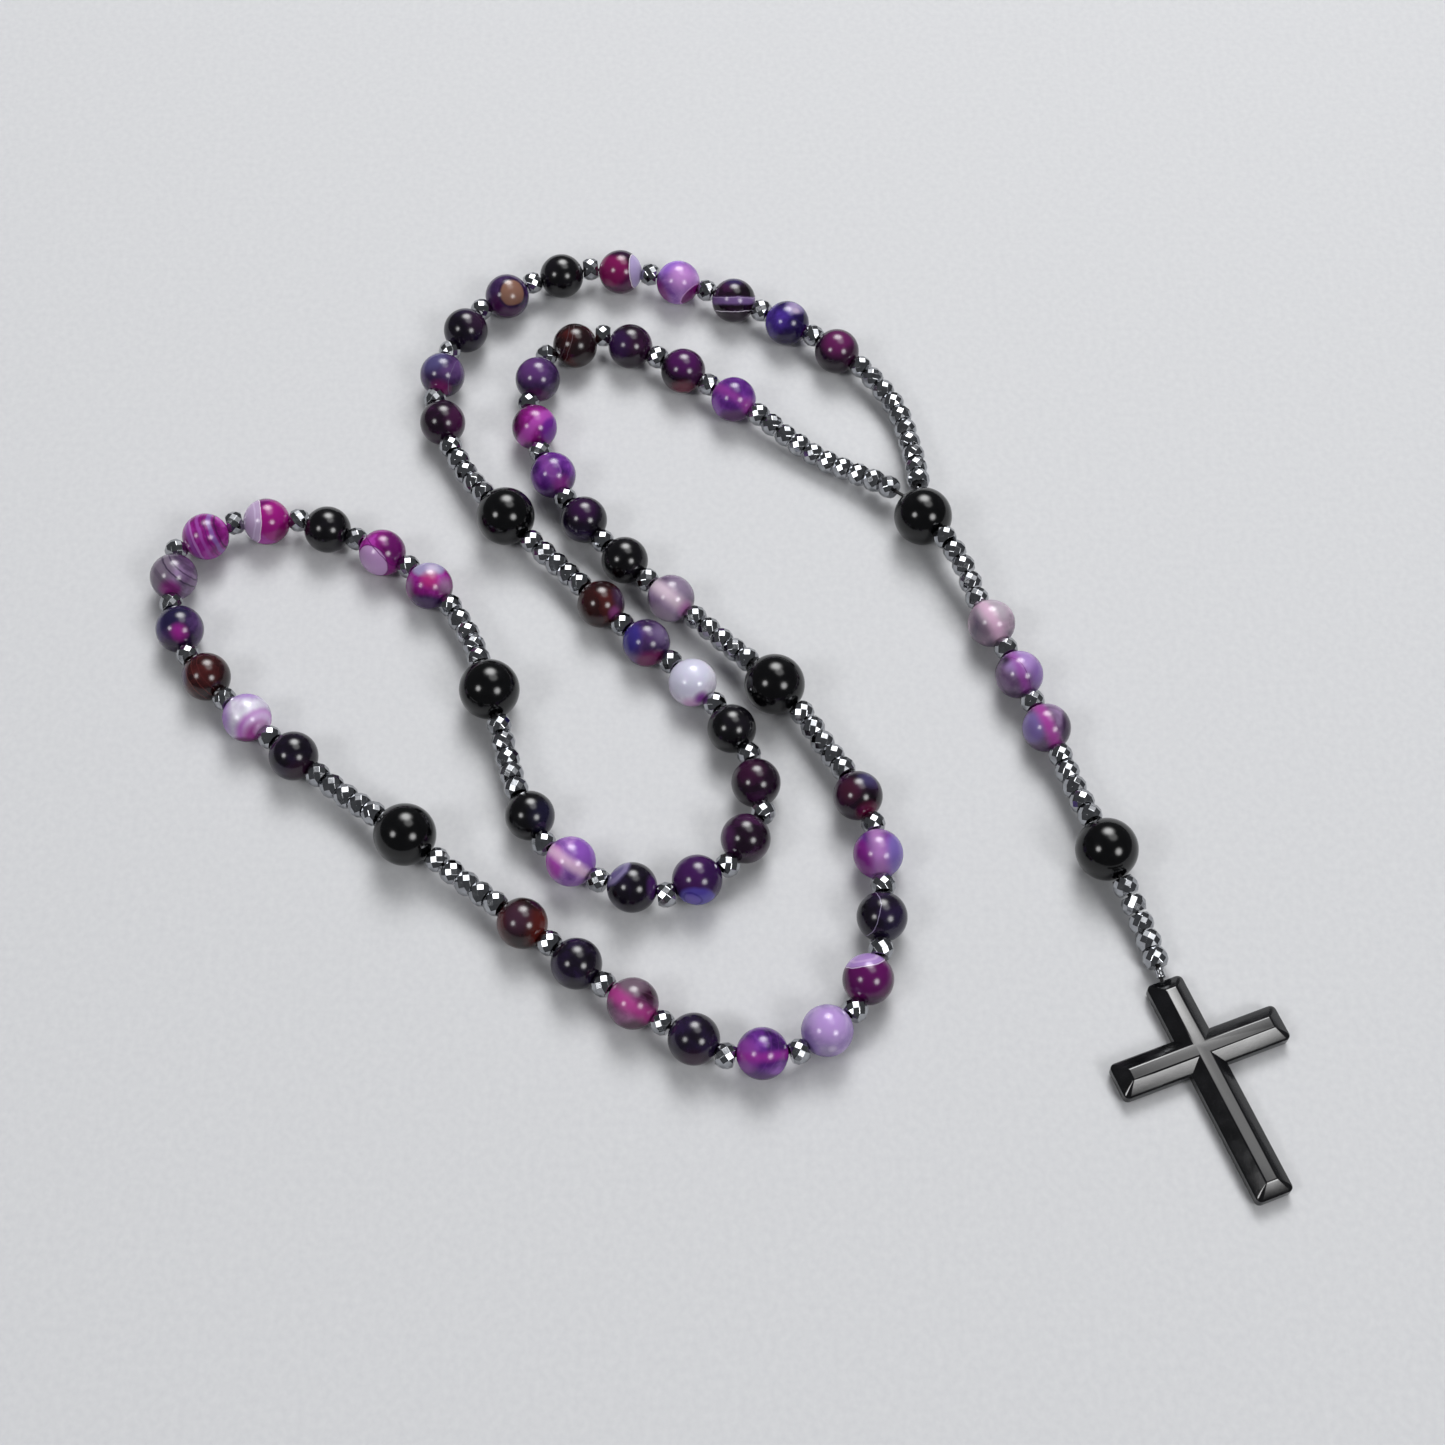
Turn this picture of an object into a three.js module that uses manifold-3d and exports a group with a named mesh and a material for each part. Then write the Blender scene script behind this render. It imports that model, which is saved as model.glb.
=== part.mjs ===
// A five-decade rosary lying on a table. Millimetres, +Z up, the table at z = 0.
//
// 53 round agate beads sit loose on a thread, one hematite rondelle between each
// pair. Runs of five or ten rondelles lead to six larger onyx beads, and a bevelled
// cross hangs at the end of the drop. Every agate is a drilled bead of its own. Each
// strand is the thread with its rondelles and its onyx, knotted tight as one body.

import * as THREE from "three";
import ManifoldModule from "manifold-3d";

// ---- Driving dimensions ------------------------------------------------------

const AGATE_DIAMETER = 8;
const AGATE_BORE = 1.2;
const ONYX_DIAMETER = 10;
const RONDELLE_DIAMETER = 4;
const RONDELLE_THICKNESS = 2.7;
const RONDELLE_FACE = 2; // diameter of the flat face round the hole
const THREAD_DIAMETER = 0.6;
const CRIMP_DIAMETER = 1.6;
const CRIMP_LENGTH = 1.6;

const RUN_PITCH = 3.05; // from rondelle to rondelle in a run
const BEAD_PITCH = 11.1; // from rondelle to rondelle with an agate between
const ONYX_REACH = 6.8; // from an onyx to the rondelle next to it
const RIGHT_FORK_REACH = 8.6; // from the centre onyx to the two branches above it
const LEFT_FORK_REACH = 8.9;
const CLEARANCE = 0.35; // where one strand ends and the next begins

const CROSS_LENGTH = 37;
const CROSS_WIDTH = 28;
const CROSS_BAR = 6;
const CROSS_THICKNESS = 3.8;
const CROSS_BEVEL = 2.1; // how far the front bevel runs in from the edge
const CROSS_BEVEL_HEIGHT = 1.5;
const CROSS_BACK_CHAMFER = 0.6;
const CROSS_CORNER = 0.9;
const CROSS_ARM_DROP = 12.6; // from the top end to the middle of the arms
const CROSS_BORE = 1.2;
const CROSS_BORE_DEPTH = 8;
const CROSS_BORE_HEIGHT = 1.5;
const CROSS_TOP = [73.4, -56];
const CROSS_TURN = 21; // degrees, from straight towards the viewer

const THREAD_SIDES = 8;
const AGATE_SEGMENTS = 10;
const ONYX_SEGMENTS = 12;
const CORNER_STEPS = 3;

// The thread's route on the table, from the centre onyx round the loop and back.
// The onyx beads of the loop lie on the points ONYX_POINTS names.
const LOOP_ROUTE = [
  [40, 30], [39, 45], [35, 58], [22, 71], [2, 82],
  [-19, 87], [-39, 77], [-46, 57], [-41, 43], [-32, 30],
  [-22, 20], [-12, 9], [4, -7], [12, -27], [-2, -42],
  [-23, -33], [-33, -5],
  [-38, 8], [-48, 20], [-69, 30], [-88, 24], [-84, 3],
  [-68, -14], [-45, -32],
  [-22, -50], [-5, -63], [12, -70], [28, -58], [30, -32],
  [21, -13], [14, -4],
  [5, 6], [-7, 17], [-21, 33], [-29, 53], [-26, 67],
  [-16, 71], [4, 59], [21, 45.5], [34.5, 37], [40, 30],
];
const ONYX_POINTS = [0, 9, 16, 23, 30, 40];

// The drop's route, from the centre onyx to the top of the cross.
const DROP_ROUTE = [
  [40, 30], [43, 25], [46, 20], [48, 15], [50, 9],
  [53, 3], [55, -3], [57, -8], [59, -13], [61, -19],
  [63, -25], [65, -31], [67, -37], [70, -44], [72, -50],
  [73, -54], [73.4, -56],
];

// Heights of the rondelles: level between agates, sagging where they run free.
const LEVEL = AGATE_DIAMETER / 2;
const ONYX_LEVEL = ONYX_DIAMETER / 2;
const RUN_OF_FIVE = [LEVEL, 3.6, 3.5, 3.8, 4.4];
const RUN_OF_TEN = [LEVEL, 3.6, 3.1, 2.8, 2.6, 2.5, 2.7, 3, 3.4, 3.9];
const RUN_BELOW_CENTRE = [6.6, 6.2, 5.6, 4.8, LEVEL];
const RUN_TO_CROSS = [4.3, 3.4, 2.7, 2.3, 2.1];

// ---- Materials ---------------------------------------------------------------

function finish(name, colour, roughness, metalness) {
  const material = new THREE.MeshStandardMaterial({ color: colour, roughness, metalness });
  material.name = name;
  return material;
}

const hematite = finish("hematite_and_onyx", 0x34363b, 0.15, 0.6);
const onyx = finish("black_onyx", 0x0b0b0d, 0.12, 0);
const agateShades = [0x4a1a44, 0x3c2f7a, 0x241229, 0x8d6bb0, 0x74205f, 0x180f1c];
const agates = agateShades.map((shade, i) => finish(`agate_${i + 1}`, shade, 0.1, 0));

// ---- The route ---------------------------------------------------------------

// One point on a Catmull-Rom curve through the route, at a place counted in points.
function onRoute(route, place) {
  const last = route.length - 1;
  const i = Math.min(Math.floor(place), last - 1);
  const t = place - i;
  const b = route[i];
  const c = route[i + 1];
  const a = i > 0 ? route[i - 1] : [2 * b[0] - c[0], 2 * b[1] - c[1]];
  const d = i + 2 <= last ? route[i + 2] : [2 * c[0] - b[0], 2 * c[1] - b[1]];
  return [0, 1].map((k) => {
    const linear = c[k] - a[k];
    const square = 2 * a[k] - 5 * b[k] + 4 * c[k] - d[k];
    const cube = 3 * b[k] - a[k] - 3 * c[k] + d[k];
    return 0.5 * (2 * b[k] + linear * t + square * t * t + cube * t * t * t);
  });
}

const ROUTE_STEP = 1 / 64;

// Steps along the route by straight distances, and returns the places it reaches.
function walk(route, from, to, distances, scale) {
  const points = [];
  let place = from;
  let here = onRoute(route, place);
  for (const distance of distances) {
    const reach = distance * scale;
    let before = 0;
    let after = 0;
    let next = place;
    while (after < reach) {
      before = after;
      next += ROUTE_STEP;
      const ahead = next <= to ? onRoute(route, next) : beyond(route, to, next);
      after = Math.hypot(ahead[0] - here[0], ahead[1] - here[1]);
    }
    place = next - (ROUTE_STEP * (after - reach)) / (after - before);
    here = place <= to ? onRoute(route, place) : beyond(route, to, place);
    points.push(here);
  }
  return { points, place };
}

// Past the end of a stretch the way goes straight on.
function beyond(route, to, place) {
  const end = onRoute(route, to);
  const before = onRoute(route, to - ROUTE_STEP);
  const steps = (place - to) / ROUTE_STEP;
  return [0, 1].map((k) => end[k] + (end[k] - before[k]) * steps);
}

// Spreads the slack evenly, so that the last distance ends on the stretch's end.
function spread(route, from, to, distances) {
  let low = 0.8;
  let high = 1.2;
  for (let turn = 0; turn < 40; turn += 1) {
    const scale = (low + high) / 2;
    if (walk(route, from, to, distances, scale).place > to) high = scale;
    else low = scale;
  }
  return walk(route, from, to, distances, low).points;
}

// ---- What is strung on a stretch ----------------------------------------------

// A stretch is a list of stations. Each has a kind, a height, and the distance from
// the one before it; an agate fills the gap before a station with agate: true.
function run(heights, firstDistance, agateFirst) {
  return heights.map((z, i) => ({
    kind: "rondelle",
    z,
    distance: i === 0 ? firstDistance : RUN_PITCH,
    agate: i === 0 && agateFirst,
  }));
}

function singles(count) {
  const single = { kind: "rondelle", z: LEVEL, distance: BEAD_PITCH, agate: true };
  return Array(count).fill(single);
}

function bead(kind, z, distance) {
  return { kind, z, distance, agate: false };
}

function decade(firstRun, firstDistance, lastRun, lastDistance) {
  return [
    ...run(firstRun.toReversed(), firstDistance, false),
    ...singles(9),
    ...run(lastRun, BEAD_PITCH, true),
    bead("onyx", ONYX_LEVEL, lastDistance),
  ];
}

// Places every station of a stretch, its start included.
function string(route, from, to, stations) {
  const distances = stations.map((station) => station.distance);
  const points = spread(route, from, to, distances);
  const start = onRoute(route, from);
  const first = { kind: "onyx", at: new THREE.Vector3(...start, ONYX_LEVEL), agate: false };
  const rest = stations.map((station, i) => ({
    kind: station.kind,
    agate: station.agate,
    at: new THREE.Vector3(...points[i], station.z),
  }));
  return [first, ...rest];
}

const betweenOnyxes = decade(RUN_OF_FIVE, ONYX_REACH, RUN_OF_FIVE, ONYX_REACH);
const stretches = [
  decade(RUN_OF_TEN, RIGHT_FORK_REACH, RUN_OF_FIVE, ONYX_REACH),
  betweenOnyxes,
  betweenOnyxes,
  betweenOnyxes,
  decade(RUN_OF_FIVE, ONYX_REACH, RUN_OF_TEN, LEFT_FORK_REACH),
].map((stations, i) => string(LOOP_ROUTE, ONYX_POINTS[i], ONYX_POINTS[i + 1], stations));

const dropStations = [
  ...run(RUN_BELOW_CENTRE, ONYX_REACH - 0.2, false),
  ...singles(2),
  ...run(RUN_OF_FIVE, BEAD_PITCH, true),
  bead("onyx", ONYX_LEVEL, ONYX_REACH),
  ...run(RUN_TO_CROSS, ONYX_REACH, false),
  bead("crimp", 1.8, 2.5),
  bead("end", CROSS_BORE_HEIGHT, 1.5),
];
const dropStretch = string(DROP_ROUTE, 0, DROP_ROUTE.length - 1, dropStations);

// ---- Shapes ------------------------------------------------------------------

// The way the thread runs through a station, from its neighbours.
function heading(stations, i) {
  const here = stations[i].at;
  const sum = new THREE.Vector3();
  if (i > 0) sum.add(here.clone().sub(stations[i - 1].at).normalize());
  if (i < stations.length - 1) sum.add(stations[i + 1].at.clone().sub(here).normalize());
  return sum.normalize();
}

// A turning that puts local +X along the axis and local +Z as near up as it goes.
function facing(axis) {
  const up = new THREE.Vector3(0, 0, 1);
  const side = up.clone().cross(axis).normalize();
  const top = axis.clone().cross(side);
  const basis = new THREE.Matrix4().makeBasis(axis, side, top);
  return new THREE.Quaternion().setFromRotationMatrix(basis);
}

// A skin over a row of rings. Each ring has a centre, an axis and a radius.
function skin(rings, sides) {
  const positions = [];
  const indices = [];
  for (const ring of rings) {
    const turn = facing(ring.axis);
    for (let k = 0; k < sides; k += 1) {
      const angle = (2 * Math.PI * k) / sides;
      const y = ring.radius * Math.sin(angle);
      const z = ring.radius * Math.cos(angle);
      const point = new THREE.Vector3(0, y, z).applyQuaternion(turn).add(ring.centre);
      positions.push(point.x, point.y, point.z);
    }
  }
  for (let r = 0; r + 1 < rings.length; r += 1) {
    for (let k = 0; k < sides; k += 1) {
      const next = (k + 1) % sides;
      const a = r * sides + k;
      const b = r * sides + next;
      indices.push(a, a + sides, b, b, a + sides, b + sides);
    }
  }
  const lastRing = (rings.length - 1) * sides;
  for (let k = 1; k + 1 < sides; k += 1) {
    indices.push(0, k, k + 1);
    indices.push(lastRing, lastRing + k + 1, lastRing + k);
  }
  const geometry = new THREE.BufferGeometry();
  geometry.setAttribute("position", new THREE.Float32BufferAttribute(positions, 3));
  geometry.setIndex(indices);
  return geometry;
}

// Thread and bead surfaces at one station, as rings along its heading.
function stationRings(stations, i) {
  const { kind, at } = stations[i];
  const axis = heading(stations, i);
  const ring = (offset, diameter) => ({
    centre: at.clone().addScaledVector(axis, offset),
    axis,
    radius: diameter / 2,
  });
  if (kind === "rondelle") {
    const half = RONDELLE_THICKNESS / 2;
    return [
      ring(-half, THREAD_DIAMETER),
      ring(-half, RONDELLE_FACE),
      ring(0, RONDELLE_DIAMETER),
      ring(half, RONDELLE_FACE),
      ring(half, THREAD_DIAMETER),
    ];
  }
  if (kind === "crimp") {
    const half = CRIMP_LENGTH / 2;
    return [
      ring(-half, THREAD_DIAMETER),
      ring(-half, CRIMP_DIAMETER),
      ring(half, CRIMP_DIAMETER),
      ring(half, THREAD_DIAMETER),
    ];
  }
  return [ring(0, THREAD_DIAMETER)];
}

// The thread where it passes straight through an agate's bore.
function boreRings(from, to) {
  const axis = to.clone().sub(from).normalize();
  const middle = from.clone().add(to).multiplyScalar(0.5);
  return [-1, 1].map((side) => ({
    centre: middle.clone().addScaledVector(axis, (side * AGATE_DIAMETER) / 2),
    axis,
    radius: THREAD_DIAMETER / 2,
  }));
}

// Cuts a stretch's first or last station back, so that it stops short of a bead.
function shorten(stations, endIndex, gap) {
  const inner = endIndex === 0 ? 1 : stations.length - 2;
  const end = stations[endIndex === 0 ? 0 : stations.length - 1];
  const towards = stations[inner].at.clone().sub(end.at).normalize();
  const copy = stations.slice();
  const at = end.at.clone().addScaledVector(towards, gap);
  copy[endIndex === 0 ? 0 : stations.length - 1] = { ...end, kind: "end", at };
  return copy;
}

function threadGeometry(stations) {
  const rings = [];
  stations.forEach((station, i) => {
    if (station.agate) rings.push(...boreRings(stations[i - 1].at, station.at));
    rings.push(...stationRings(stations, i));
  });
  return skin(rings, THREAD_SIDES);
}

// A ball turned on its drilling, with small flats where the drill came out.
function ballProfile(diameter, bore, steps) {
  const radius = diameter / 2;
  const mouth = Math.asin(bore / diameter);
  const points = [];
  for (let i = 0; i <= steps; i += 1) {
    const angle = mouth + ((Math.PI - 2 * mouth) * i) / steps;
    points.push(new THREE.Vector2(radius * Math.sin(angle), -radius * Math.cos(angle)));
  }
  return points;
}

function drilledBall(diameter, bore, steps, segments) {
  const points = ballProfile(diameter, bore, steps);
  points.push(points[0].clone());
  return new THREE.LatheGeometry(points, segments).rotateZ(-Math.PI / 2);
}

function solidBall(diameter, flat, steps, segments) {
  const points = ballProfile(diameter, flat, steps);
  points.unshift(new THREE.Vector2(0, points[0].y));
  points.push(new THREE.Vector2(0, points[points.length - 1].y));
  return new THREE.LatheGeometry(points, segments).rotateZ(-Math.PI / 2);
}

// ---- Joining and cutting -------------------------------------------------------

const manifold = await ManifoldModule();
manifold.setup();

function toSolid(geometry) {
  const position = geometry.getAttribute("position");
  const index = geometry.getIndex();
  const mesh = new manifold.Mesh({
    numProp: 3,
    vertProperties: Float32Array.from(position.array),
    triVerts: Uint32Array.from(index.array),
  });
  mesh.merge();
  return new manifold.Manifold(mesh);
}

function toGeometry(solid) {
  const mesh = solid.getMesh();
  const geometry = new THREE.BufferGeometry();
  geometry.setAttribute("position", new THREE.BufferAttribute(mesh.vertProperties, 3));
  geometry.setIndex(new THREE.BufferAttribute(mesh.triVerts, 1));
  return geometry;
}

// ---- Sub-parts ------------------------------------------------------------------

function named(name, geometry, material) {
  const mesh = new THREE.Mesh(geometry, material);
  mesh.name = name;
  return mesh;
}

function strand(name, stations, balls) {
  let solid = toSolid(threadGeometry(stations));
  for (const { at, axis } of balls) {
    const ball = solidBall(ONYX_DIAMETER, AGATE_BORE, 8, ONYX_SEGMENTS);
    ball.applyQuaternion(facing(axis)).translate(at.x, at.y, at.z);
    solid = solid.add(toSolid(ball));
  }
  return named(name, toGeometry(solid), hematite);
}

const agateGeometry = drilledBall(AGATE_DIAMETER, AGATE_BORE, 6, AGATE_SEGMENTS);

function agatesOf(stations, nameOf) {
  const meshes = [];
  stations.forEach((station, i) => {
    if (!station.agate) return;
    const from = stations[i - 1].at;
    const axis = station.at.clone().sub(from).normalize();
    const number = meshes.length + 1;
    const shade = agates[(number * 5) % agates.length];
    const mesh = named(nameOf(number), agateGeometry, shade);
    mesh.position.copy(from).add(station.at).multiplyScalar(0.5);
    mesh.quaternion.copy(facing(axis));
    meshes.push(mesh);
  });
  return meshes;
}

// The cross's outline at one level, all its edges moved in by the inset. Each outer
// corner is a short arc, each inner corner a point. The top end is at the origin.
function crossOutline(inset, corner) {
  const bar = CROSS_BAR / 2 - inset;
  const top = -inset;
  const bottom = -CROSS_LENGTH + inset;
  const arm = CROSS_WIDTH / 2 - inset;
  const above = -CROSS_ARM_DROP + bar;
  const below = -CROSS_ARM_DROP - bar;
  const corners = [
    [bar, top], [-bar, top], [-bar, above], [-arm, above],
    [-arm, below], [-bar, below], [-bar, bottom], [bar, bottom],
    [bar, below], [arm, below], [arm, above], [bar, above],
  ].map(([x, y]) => new THREE.Vector2(x, y));
  const outline = [];
  corners.forEach((point, i) => {
    const back = corners.at(i - 1).clone().sub(point).normalize();
    const ahead = corners[(i + 1) % corners.length].clone().sub(point).normalize();
    if (back.cross(ahead) > 0) {
      outline.push(point);
      return;
    }
    const centre = point.clone().addScaledVector(back, corner).addScaledVector(ahead, corner);
    for (let k = 0; k <= CORNER_STEPS; k += 1) {
      const turn = (Math.PI / 2) * (k / CORNER_STEPS);
      const away = centre.clone().addScaledVector(ahead, -corner * Math.cos(turn));
      outline.push(away.addScaledVector(back, -corner * Math.sin(turn)));
    }
  });
  return outline;
}

function crossGeometry() {
  const wallTop = CROSS_THICKNESS - CROSS_BEVEL_HEIGHT;
  const levels = [
    { z: 0, outline: crossOutline(CROSS_BACK_CHAMFER, CROSS_CORNER / 2) },
    { z: CROSS_BACK_CHAMFER, outline: crossOutline(0, CROSS_CORNER) },
    { z: wallTop, outline: crossOutline(0, CROSS_CORNER) },
    { z: CROSS_THICKNESS, outline: crossOutline(CROSS_BEVEL, 0.1) },
  ];
  const count = levels[0].outline.length;
  const positions = [];
  const indices = [];
  for (const { z, outline } of levels) {
    for (const point of outline) positions.push(point.x, point.y, z);
  }
  for (let level = 0; level + 1 < levels.length; level += 1) {
    for (let k = 0; k < count; k += 1) {
      const a = level * count + k;
      const b = level * count + ((k + 1) % count);
      indices.push(a, b, a + count, b, b + count, a + count);
    }
  }
  const capOffset = (levels.length - 1) * count;
  for (const [i, j, k] of THREE.ShapeUtils.triangulateShape(levels[0].outline, [])) {
    indices.push(i, k, j);
  }
  for (const [i, j, k] of THREE.ShapeUtils.triangulateShape(levels[3].outline, [])) {
    indices.push(capOffset + i, capOffset + j, capOffset + k);
  }
  const geometry = new THREE.BufferGeometry();
  geometry.setAttribute("position", new THREE.Float32BufferAttribute(positions, 3));
  geometry.setIndex(indices);
  return geometry;
}

function cross() {
  const bore = new THREE.CylinderGeometry(
    CROSS_BORE / 2,
    CROSS_BORE / 2,
    CROSS_BORE_DEPTH + 2,
    THREAD_SIDES,
  );
  bore.translate(0, 1 - CROSS_BORE_DEPTH / 2, CROSS_BORE_HEIGHT);
  const body = toSolid(crossGeometry()).subtract(toSolid(bore));
  const mesh = named("cross", toGeometry(body), onyx);
  mesh.position.set(...CROSS_TOP, 0);
  mesh.rotation.z = THREE.MathUtils.degToRad(CROSS_TURN);
  return mesh;
}

// ---- The rosary ------------------------------------------------------------------

// Each loop strand keeps the onyx it ends on. The others stop just short of a bead
// that the next strand keeps, so that the strands can fold round it.
const STOP = ONYX_DIAMETER / 2 + CLEARANCE;
const ONYX_SHARES = [
  { keepsFirst: true, keepsLast: true },
  { keepsFirst: false, keepsLast: true },
  { keepsFirst: false, keepsLast: true },
  { keepsFirst: false, keepsLast: false },
  { keepsFirst: true, keepsLast: false },
];

function loopStrand(stretch, number) {
  const { keepsFirst, keepsLast } = ONYX_SHARES[number - 1];
  const last = stretch.length - 1;
  const balls = [];
  let stations = stretch;
  if (keepsFirst) balls.push({ at: stretch[0].at, axis: heading(stretch, 0) });
  else stations = shorten(stations, 0, STOP);
  if (keepsLast) balls.push({ at: stretch[last].at, axis: heading(stretch, last) });
  else stations = shorten(stations, last, STOP);
  return strand(`strand_${number}`, stations, balls);
}

const two = (number) => String(number).padStart(2, "0");

const rosary = new THREE.Group();
rosary.name = "rosary";

stretches.forEach((stretch, i) => {
  const group = new THREE.Group();
  group.name = `stretch_${i + 1}`;
  group.add(loopStrand(stretch, i + 1));
  group.add(...agatesOf(stretch, (number) => `agate_${i + 1}_${two(number)}`));
  rosary.add(group);
});

const drop = new THREE.Group();
drop.name = "drop";
const dropOnyx = dropStretch.findIndex((station, i) => i > 0 && station.kind === "onyx");
const dropEnd = shorten(shorten(dropStretch, 0, STOP), dropStretch.length - 1, CLEARANCE);
const dropBall = { at: dropStretch[dropOnyx].at, axis: heading(dropStretch, dropOnyx) };
drop.add(strand("drop_strand", dropEnd, [dropBall]));
drop.add(...agatesOf(dropStretch, (number) => `agate_drop_${number}`));
drop.add(cross());
rosary.add(drop);

export default rosary;
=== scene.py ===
import math
import random

import bmesh
import bpy
from mathutils import Matrix, Vector


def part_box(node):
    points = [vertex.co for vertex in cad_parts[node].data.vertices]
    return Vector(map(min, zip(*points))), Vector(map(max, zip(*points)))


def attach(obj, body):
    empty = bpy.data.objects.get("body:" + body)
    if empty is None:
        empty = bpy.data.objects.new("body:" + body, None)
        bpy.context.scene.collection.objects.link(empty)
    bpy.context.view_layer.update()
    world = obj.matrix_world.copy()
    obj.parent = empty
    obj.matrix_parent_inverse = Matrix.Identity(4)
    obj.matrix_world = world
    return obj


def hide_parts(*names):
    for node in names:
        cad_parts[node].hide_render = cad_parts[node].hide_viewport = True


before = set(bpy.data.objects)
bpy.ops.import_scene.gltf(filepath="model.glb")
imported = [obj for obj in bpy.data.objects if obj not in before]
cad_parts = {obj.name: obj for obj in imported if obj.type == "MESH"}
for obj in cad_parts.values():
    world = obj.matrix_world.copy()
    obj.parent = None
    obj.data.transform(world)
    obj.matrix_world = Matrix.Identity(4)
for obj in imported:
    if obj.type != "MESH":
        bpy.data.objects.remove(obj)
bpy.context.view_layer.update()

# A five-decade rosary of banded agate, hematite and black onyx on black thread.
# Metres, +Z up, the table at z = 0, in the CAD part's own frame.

MM = 0.001

# ---- Driving dimensions, the CAD part's own --------------------------------------

AGATE_RADIUS = 4 * MM
ONYX_RADIUS = 5 * MM
BORE_RADIUS = 0.6 * MM
RONDELLE_RADIUS = 2 * MM
RONDELLE_HALF = 1.38 * MM
RONDELLE_FACETS = 9
THREAD_RADIUS = 0.3 * MM
THREAD_CLEARANCE = 0.02 * MM
HINGE_CLEARANCE = 0.16 * MM

RUN_PITCH = 3.05 * MM
BEAD_PITCH = 11.1 * MM
ONYX_REACH = 6.8 * MM
RIGHT_FORK_REACH = 8.6 * MM
LEFT_FORK_REACH = 8.9 * MM

CROSS_LENGTH = 37 * MM
CROSS_WIDTH = 28 * MM
CROSS_BAR = 6 * MM
CROSS_THICKNESS = 3.8 * MM
CROSS_BEVEL = 2.1 * MM
CROSS_BEVEL_HEIGHT = 1.5 * MM
CROSS_ARM_DROP = 12.6 * MM
CROSS_BORE_HEIGHT = 1.5 * MM
CROSS_TOP = Vector((73.4, -56, 0)) * MM
CROSS_TURN = math.radians(21)

# The thread's route from the centre onyx round the loop and back, and the points of
# it that the onyx beads lie on.
LOOP_ROUTE = [
    (0.040, 0.030), (0.039, 0.045), (0.035, 0.058), (0.022, 0.071), (0.002, 0.082),
    (-0.019, 0.087), (-0.039, 0.077), (-0.046, 0.057), (-0.041, 0.043), (-0.032, 0.030),
    (-0.022, 0.020), (-0.012, 0.009), (0.004, -0.007), (0.012, -0.027), (-0.002, -0.042),
    (-0.023, -0.033), (-0.033, -0.005),
    (-0.038, 0.008), (-0.048, 0.020), (-0.069, 0.030), (-0.088, 0.024), (-0.084, 0.003),
    (-0.068, -0.014), (-0.045, -0.032),
    (-0.022, -0.050), (-0.005, -0.063), (0.012, -0.070), (0.028, -0.058), (0.030, -0.032),
    (0.021, -0.013), (0.014, -0.004),
    (0.005, 0.006), (-0.007, 0.017), (-0.021, 0.033), (-0.029, 0.053), (-0.026, 0.067),
    (-0.016, 0.071), (0.004, 0.059), (0.021, 0.0455), (0.0345, 0.037), (0.040, 0.030),
]
ONYX_POINTS = [0, 9, 16, 23, 30, 40]

# The drop's route, from the centre onyx to the top of the cross.
DROP_ROUTE = [
    (0.040, 0.030), (0.043, 0.025), (0.046, 0.020), (0.048, 0.015), (0.050, 0.009),
    (0.053, 0.003), (0.055, -0.003), (0.057, -0.008), (0.059, -0.013), (0.061, -0.019),
    (0.063, -0.025), (0.065, -0.031), (0.067, -0.037), (0.070, -0.044), (0.072, -0.050),
    (0.073, -0.054), (0.0734, -0.056),
]

# Heights of the rondelles in millimetres: level between agates, sagging in the runs.
LEVEL = 4
ONYX_LEVEL = 5
RUN_OF_FIVE = [LEVEL, 3.6, 3.5, 3.8, 4.4]
RUN_OF_TEN = [LEVEL, 3.6, 3.1, 2.8, 2.6, 2.5, 2.7, 3, 3.4, 3.9]
RUN_BELOW_CENTRE = [6.6, 6.2, 5.6, 4.8, LEVEL]
RUN_TO_CROSS = [4.3, 3.4, 2.7, 2.3, 2.1]

UP = Vector((0, 0, 1))


# ---- Camera ------------------------------------------------------------------------

CAMERA_ELEVATION = math.radians(59.4)
CAMERA_DISTANCE = 0.3774
CAMERA_TARGET = Vector((0.0054, -0.0084, 0))
TO_CAMERA = Vector((0, -math.cos(CAMERA_ELEVATION), math.sin(CAMERA_ELEVATION)))
PICTURE_UP = Vector((0, math.sin(CAMERA_ELEVATION), math.cos(CAMERA_ELEVATION)))
BACK_LIGHT = Vector((0.065, 0.65, 0.747))

# The way a facet faces when it throws the back light at the camera.
GLINT = (TO_CAMERA + BACK_LIGHT).normalized()


def add_camera():
    data = bpy.data.cameras.new("camera")
    data.sensor_width = 36
    data.lens = 56.7
    camera = bpy.data.objects.new("camera", data)
    camera.location = CAMERA_TARGET + TO_CAMERA * CAMERA_DISTANCE
    camera.rotation_euler = (math.pi / 2 - CAMERA_ELEVATION, 0, 0)
    bpy.context.collection.objects.link(camera)
    bpy.context.scene.camera = camera


# ---- The route ---------------------------------------------------------------------

ROUTE_STEP = 1 / 64


def on_route(route, place):
    """A point on a Catmull-Rom curve through the route, at a place counted in points."""
    last = len(route) - 1
    i = min(math.floor(place), last - 1)
    t = place - i
    b, c = Vector(route[i]), Vector(route[i + 1])
    a = Vector(route[i - 1]) if i > 0 else 2 * b - c
    d = Vector(route[i + 2]) if i + 2 <= last else 2 * c - b
    linear = c - a
    square = 2 * a - 5 * b + 4 * c - d
    cube = 3 * b - a - 3 * c + d
    return 0.5 * (2 * b + linear * t + square * t * t + cube * t * t * t)


def along(route, to, place):
    """The same, and straight on past the end of a stretch."""
    if place <= to:
        return on_route(route, place)
    end = on_route(route, to)
    return end + (end - on_route(route, to - ROUTE_STEP)) * ((place - to) / ROUTE_STEP)


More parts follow.
